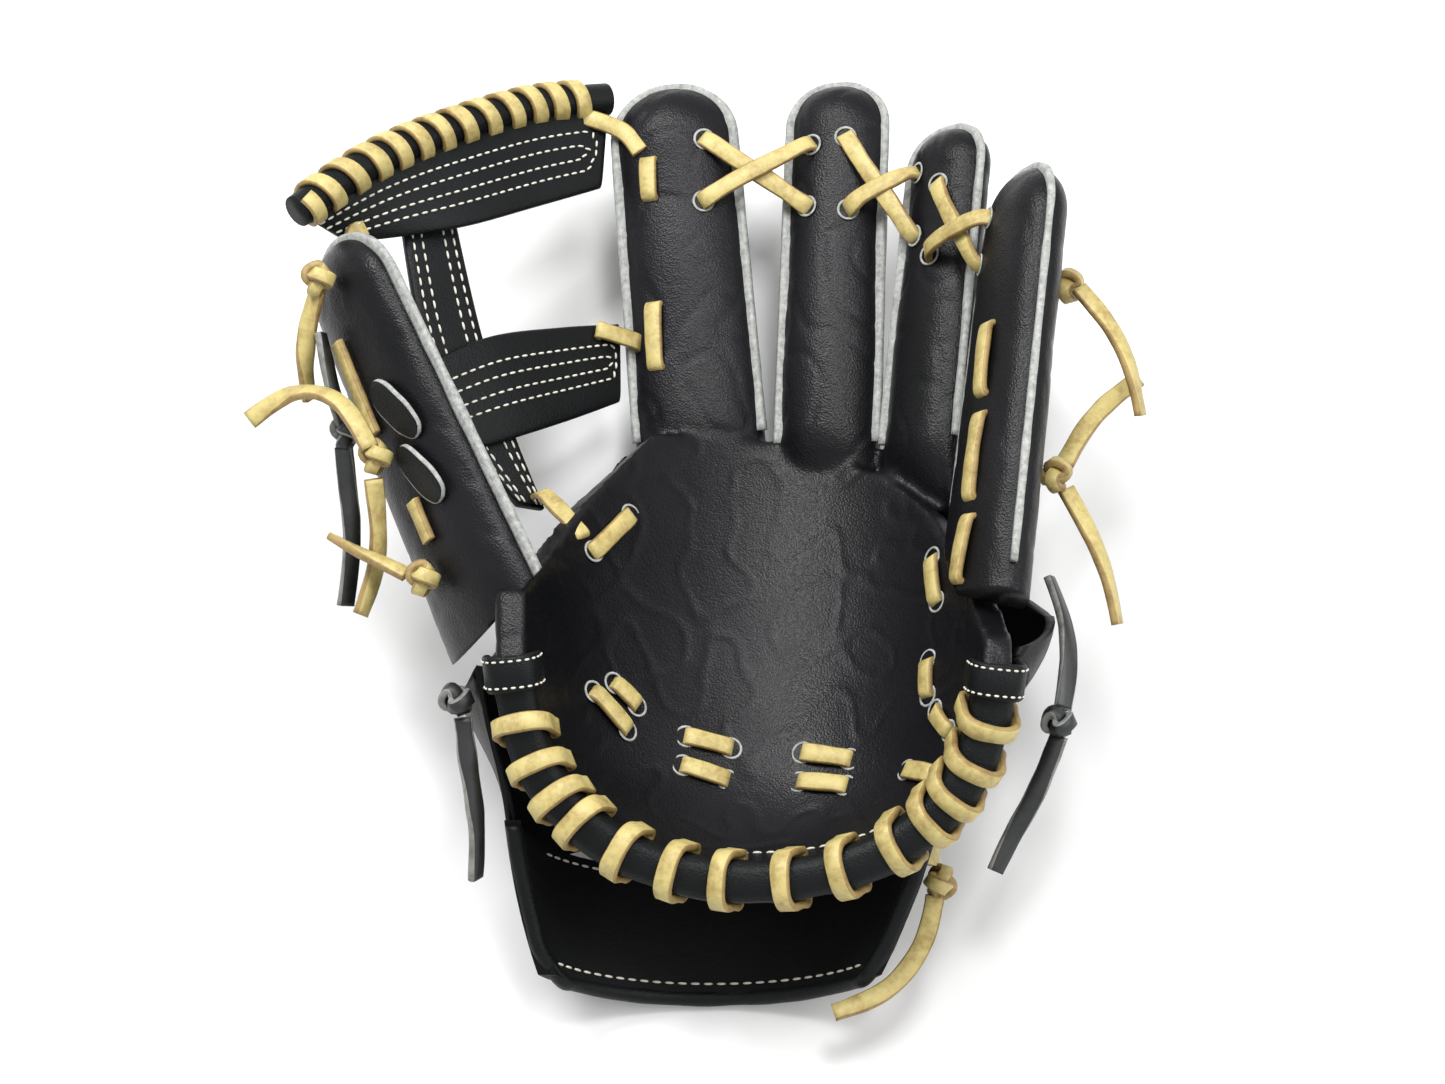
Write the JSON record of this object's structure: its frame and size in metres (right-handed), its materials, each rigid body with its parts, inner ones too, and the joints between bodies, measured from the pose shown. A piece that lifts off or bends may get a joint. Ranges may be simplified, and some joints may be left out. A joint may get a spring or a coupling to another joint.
{
  "type": "baseball glove",
  "caption": "Left-hand fielder's glove with laced fingers, single-post web, folding thumb and little finger stalls and wrist strap.",
  "frame": {"origin": "centre of the footprint, on the surface that the glove's back lies on, without the free lace tails", "axes": "+Z out of the pocket, +Y towards the finger tips, +X towards the little finger"},
  "size_m": [0.2892, 0.3241, 0.1111],
  "materials": {
    "black_leather": "soft gloss",
    "binding": "soft gloss",
    "tan_lace": "waxed rawhide",
    "black_lace": "waxed rawhide",
    "raw_welt": "raw cut edge",
    "felt_pad": "felt",
    "lining": "matte"
  },
  "bodies": {
    "palm": {"back_panel": "black_leather", "crotch_gusset": "black_leather", "heel_binding": "binding", "heel_lace": "tan_lace", "heel_tabs": "black_leather", "index_back": "black_leather", "index_front": "black_leather", "index_welt": "raw_welt", "middle_back": "black_leather", "middle_front": "black_leather", "middle_welt": "raw_welt", "palm_laces": "tan_lace", "palm_leather": "black_leather", "palm_lining": "lining", "palm_pad": "felt_pad", "pinky_tie_loop": "black_lace", "pinky_tie_tail": "black_lace", "ring_back": "black_leather", "ring_front": "black_leather", "ring_pinky_lace": "tan_lace", "ring_welt": "raw_welt", "strap_lining": "lining", "thumb_tie_tail": "black_lace", "tie_knots": "black_lace", "tip_laces": "tan_lace", "web_cross_bar": "black_leather", "web_index_lace": "tan_lace", "web_post": "black_leather", "web_roll": "black_leather", "web_thumb_lace": "tan_lace", "web_top_bar": "black_leather", "web_top_lace": "tan_lace", "wrist_knot": "tan_lace", "wrist_lace": "tan_lace", "wrist_strap": "black_leather", "wrist_tail": "tan_lace"},
    "thumb": {"thumb_back": "black_leather", "thumb_down_tail": "tan_lace", "thumb_front": "black_leather", "thumb_knots": "tan_lace", "thumb_laces": "tan_lace", "thumb_left_tail": "tan_lace", "thumb_low_tail": "tan_lace", "thumb_pad": "felt_pad", "thumb_tabs": "black_leather", "thumb_tip_tail": "tan_lace", "thumb_welt": "raw_welt", "upper_tie_knot": "black_lace", "upper_tie_loop": "black_lace", "upper_tie_tail": "black_lace"},
    "pinky": {"pinky_back": "black_leather", "pinky_front": "black_leather", "pinky_knots": "tan_lace", "pinky_laces": "tan_lace", "pinky_lower_tail": "tan_lace", "pinky_pad": "felt_pad", "pinky_tip_tail": "tan_lace", "pinky_upper_tail": "tan_lace", "pinky_welt": "raw_welt"}
  },
  "joints": [
    {"name": "thumb_fold", "type": "hinge", "parent": "palm", "child": "thumb", "pos_m": [-0.04924, -0.05114, 0.098], "axis": [0.2604, 0.7199, -0.6433], "range_deg": [-8, 35], "deforming": ["web_roll", "web_top_bar", "web_cross_bar", "web_post", "web_top_lace", "web_index_lace", "web_thumb_lace"]},
    {"name": "pinky_fold", "type": "hinge", "parent": "palm", "child": "pinky", "pos_m": [0.09176, -0.06714, 0.096], "axis": [0.2656, -0.8388, 0.4753], "range_deg": [-8, 35], "deforming": ["ring_pinky_lace"]}
  ]
}
